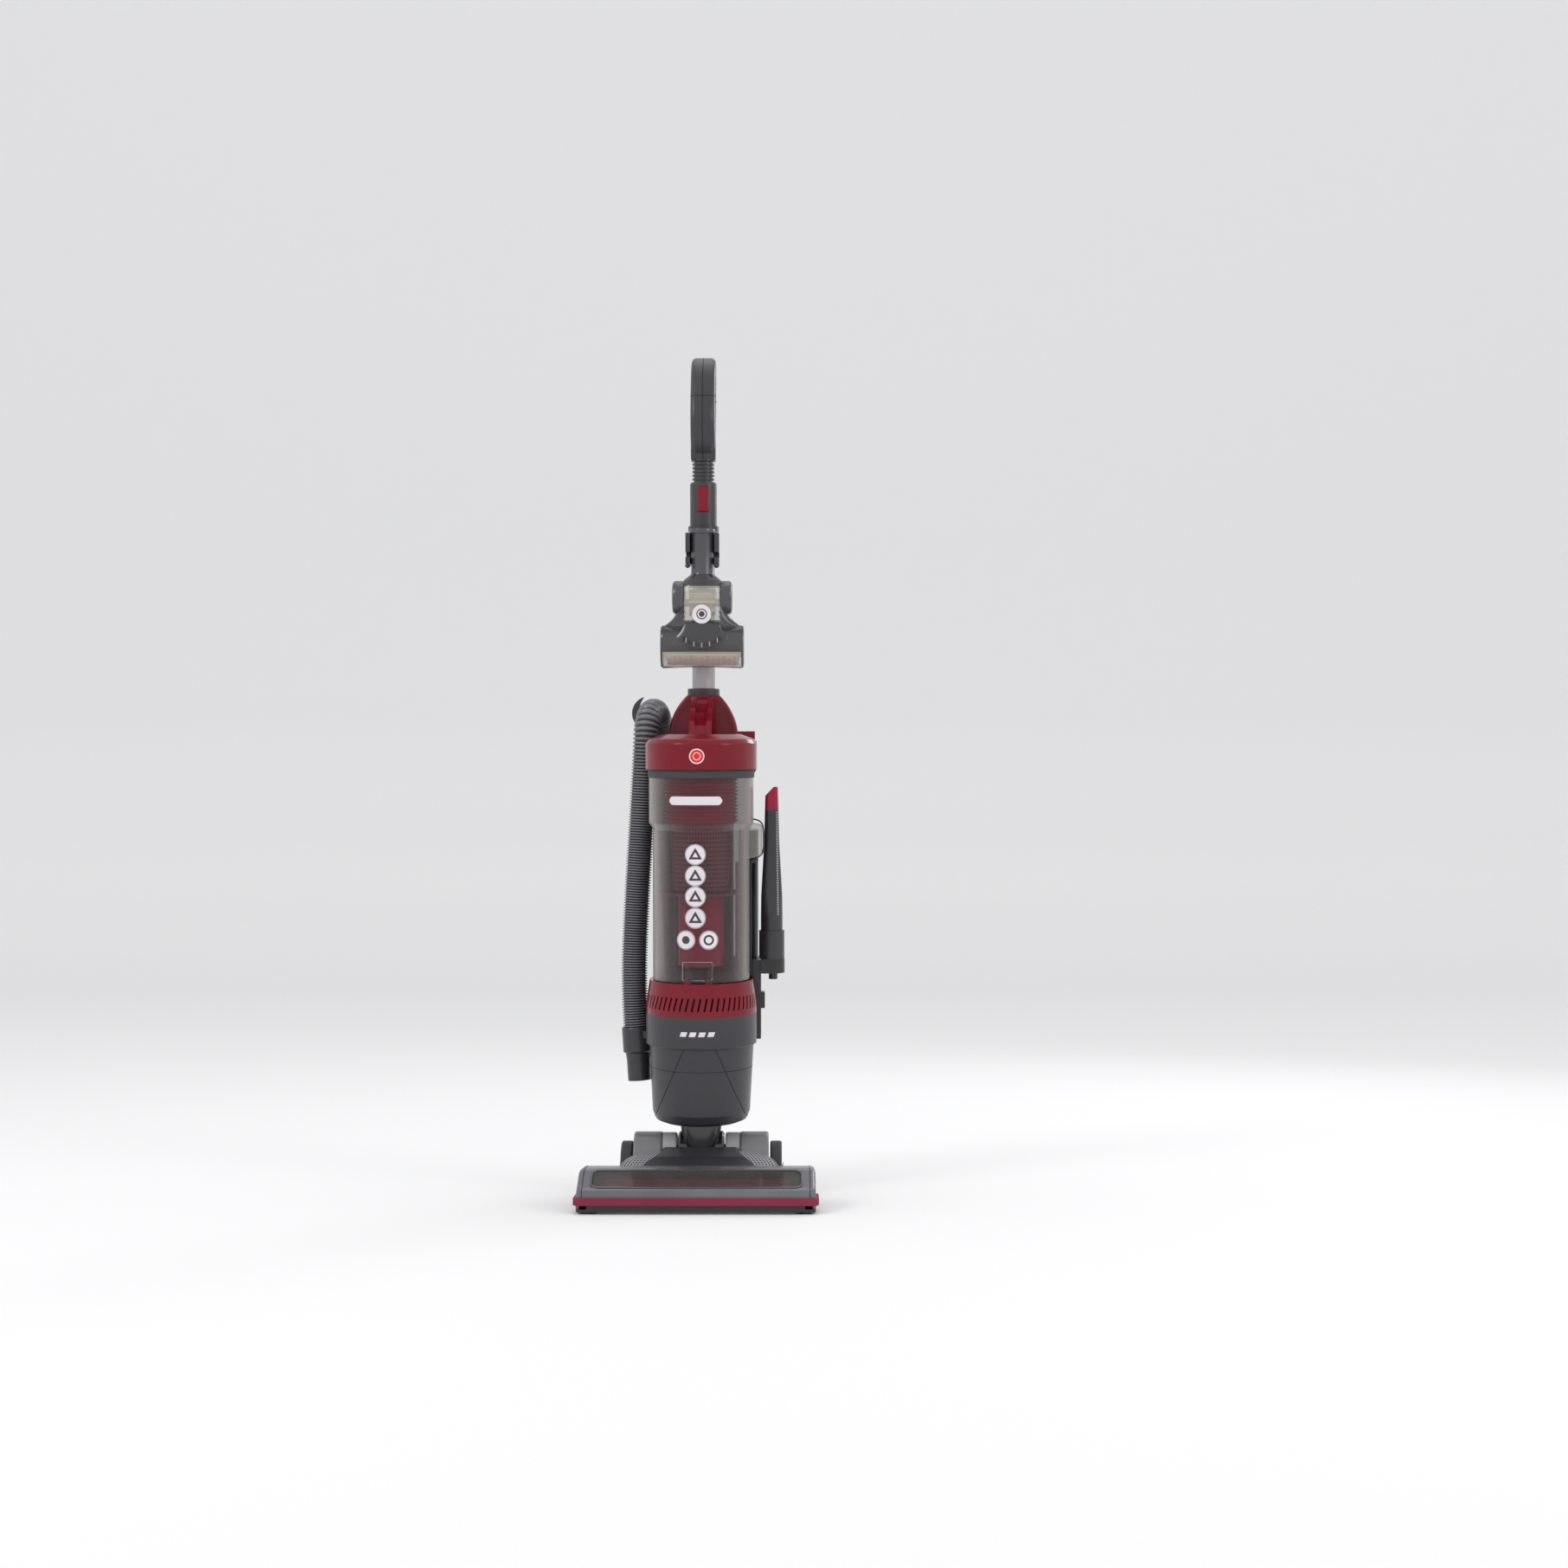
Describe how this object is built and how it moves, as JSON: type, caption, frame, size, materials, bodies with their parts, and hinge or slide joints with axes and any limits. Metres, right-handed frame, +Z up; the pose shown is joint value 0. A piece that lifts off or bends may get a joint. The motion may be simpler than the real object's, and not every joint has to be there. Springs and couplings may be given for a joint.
{
  "type": "upright vacuum cleaner",
  "caption": "Upright vacuum cleaner: wide floor head, reclining body with clear dust bin, burgundy lid, stretch hose, wand with loop handle, parked mini turbo tool and crevice tool",
  "frame": {"origin": "on the floor, under the middle of the object's box without its hose", "axes": "+X to the right seen from the front, +Y to the back, +Z up; the body leans forward 5 degrees about the recline pivot"},
  "size_m": [0.316, 0.345, 1.1671],
  "materials": {
    "dark_plastic": "satin dark grey",
    "black_plastic": "satin black",
    "light_plastic": "satin mid grey",
    "burgundy_plastic": "high gloss burgundy",
    "red_plastic": "satin dark red",
    "smoke_clear": "smoky transparent plastic",
    "clear": "clear plastic",
    "wand_metal": "light metallic grey",
    "steel": "bare steel",
    "rubber": "black rubber",
    "tyre": "dark grey rubber",
    "felt": "dark felt",
    "foam": "grey foam",
    "hose_plastic": "corrugated grey"
  },
  "bodies": {
    "floor_head": {"sole_plate": "black_plastic", "sole_glides": "felt", "nozzle_cover": "light_plastic", "nozzle_window": "smoke_clear", "bumper_strip": "burgundy_plastic", "base_housing": "dark_plastic", "bonnet": "dark_plastic", "vent_panels": "light_plastic", "side_covers": "dark_plastic", "pedal_spring": "steel", "hub_bushes": "light_plastic", "wheel_axles": "steel", "roll_bearings": "steel", "brush_motor": "steel", "brush_belt": "rubber"},
    "left_wheel_body": {"left_wheel": "tyre"},
    "right_wheel_body": {"right_wheel": "tyre"},
    "brush_roll_body": {"brush_roll": "red_plastic"},
    "pulley_body": {"motor_pulley": "steel"},
    "pedal_body": {"recline_pedal": "light_plastic"},
    "upright": {"neck": "black_plastic", "motor_bowl": "dark_plastic", "main_motor": "steel", "motor_band": "dark_plastic", "exhaust_ring": "burgundy_plastic", "exhaust_filter": "foam", "spine": "dark_plastic", "riser_duct": "dark_plastic", "wand_tower": "burgundy_plastic", "tower_collar": "dark_plastic", "tool_bracket": "black_plastic", "cord_hook_mounts": "dark_plastic", "hose_cradle": "dark_plastic", "hose_port": "dark_plastic", "hose": "hose_plastic", "hose_connector": "dark_plastic"},
    "fan_body": {"motor_fan": "black_plastic"},
    "power_button_body": {"power_button": "dark_plastic"},
    "cord_hook_body": {"upper_cord_hook": "dark_plastic"},
    "bin": {"bin_shell": "smoke_clear", "bin_gasket": "rubber", "bin_lid": "burgundy_plastic", "carry_handle": "burgundy_plastic", "separator": "red_plastic", "screen": "red_plastic", "bin_flap": "smoke_clear"},
    "bin_release_body": {"bin_release": "red_plastic"},
    "wand": {"wand_tube": "wand_metal", "handle_collar": "dark_plastic", "handle_left": "dark_plastic", "handle_right": "dark_plastic", "tool_saddle": "dark_plastic"},
    "wand_release_body": {"release_button": "burgundy_plastic"},
    "pet_tool": {"pet_covers": "dark_plastic", "pet_body": "smoke_clear", "pet_window": "clear"},
    "pet_brush_body": {"pet_brush": "red_plastic"},
    "pet_turbine_body": {"pet_turbine": "black_plastic"},
    "crevice": {"crevice_tool": "dark_plastic", "crevice_tip": "burgundy_plastic"}
  },
  "joints": [
    {"name": "recline", "type": "hinge", "parent": "floor_head", "child": "upright", "pos_m": [0, 0.0275, 0.06], "axis": [-1, 0, 0], "range_deg": [0, 60]},
    {"name": "left_wheel_spin", "type": "hinge", "parent": "floor_head", "child": "left_wheel_body", "pos_m": [-0.102, 0.0395, 0.036], "axis": [1, 0, 0], "continuous": true},
    {"name": "right_wheel_spin", "type": "hinge", "parent": "floor_head", "child": "right_wheel_body", "pos_m": [0.102, 0.0395, 0.036], "axis": [1, 0, 0], "continuous": true},
    {"name": "brush_roll_spin", "type": "hinge", "parent": "floor_head", "child": "brush_roll_body", "pos_m": [0, -0.1285, 0.0205], "axis": [1, 0, 0], "continuous": true},
    {"name": "pulley_spin", "type": "hinge", "parent": "floor_head", "child": "pulley_body", "pos_m": [-0.1285, -0.09, 0.028], "axis": [1, 0, 0], "continuous": true},
    {"name": "recline_pedal_press", "type": "hinge", "parent": "floor_head", "child": "pedal_body", "pos_m": [-0.072, 0.0605, 0.016], "axis": [-1, 0, 0], "range_deg": [0, 10], "stiffness_Nm_per_rad": 0.6},
    {"name": "fan_spin", "type": "hinge", "parent": "upright", "child": "fan_body", "pos_m": [0, 0.01582, 0.19349], "axis": [0, -0.0872, 0.9962], "continuous": true},
    {"name": "power_button_press", "type": "slide", "parent": "upright", "child": "power_button_body", "axis": [-1, 0, 0], "range_m": [0, 0.003], "stiffness_N_per_m": 800},
    {"name": "cord_hook_swivel", "type": "hinge", "parent": "upright", "child": "cord_hook_body", "pos_m": [0.034, 0.09954, 0.61338], "axis": [0, 0.9962, 0.0872], "range_deg": [0, 180]},
    {"name": "bin_lift_off", "type": "slide", "parent": "upright", "child": "bin", "axis": [0, -0.9962, -0.0872], "range_m": [0, 0.16]},
    {"name": "bin_release_press", "type": "slide", "parent": "bin", "child": "bin_release_body", "axis": [0, 0.0872, -0.9962], "range_m": [0, 0.003], "stiffness_N_per_m": 800},
    {"name": "wand_pull", "type": "slide", "parent": "upright", "child": "wand", "axis": [0, -0.0872, 0.9962], "range_m": [0, 0.1]},
    {"name": "wand_release_press", "type": "slide", "parent": "wand", "child": "wand_release_body", "axis": [0, 0.9962, 0.0872], "range_m": [0, 0.0018], "stiffness_N_per_m": 800},
    {"name": "pet_tool_pull", "type": "slide", "parent": "wand", "child": "pet_tool", "axis": [0, -0.9962, -0.0872], "range_m": [0, 0.06]},
    {"name": "pet_brush_spin", "type": "hinge", "parent": "pet_tool", "child": "pet_brush_body", "pos_m": [0, 0.01904, 0.74186], "axis": [1, 0, 0], "continuous": true},
    {"name": "pet_turbine_spin", "type": "hinge", "parent": "pet_tool", "child": "pet_turbine_body", "pos_m": [0, 0.01276, 0.81358], "axis": [1, 0, 0], "continuous": true},
    {"name": "crevice_tool_pull", "type": "slide", "parent": "upright", "child": "crevice", "axis": [0, -0.0872, 0.9962], "range_m": [0, 0.06]}
  ],
  "couplings": [
    {"joint": "pulley_spin", "follows": "brush_roll_spin", "ratio": 1.6667},
    {"joint": "pet_turbine_spin", "follows": "pet_brush_spin", "ratio": 4}
  ]
}
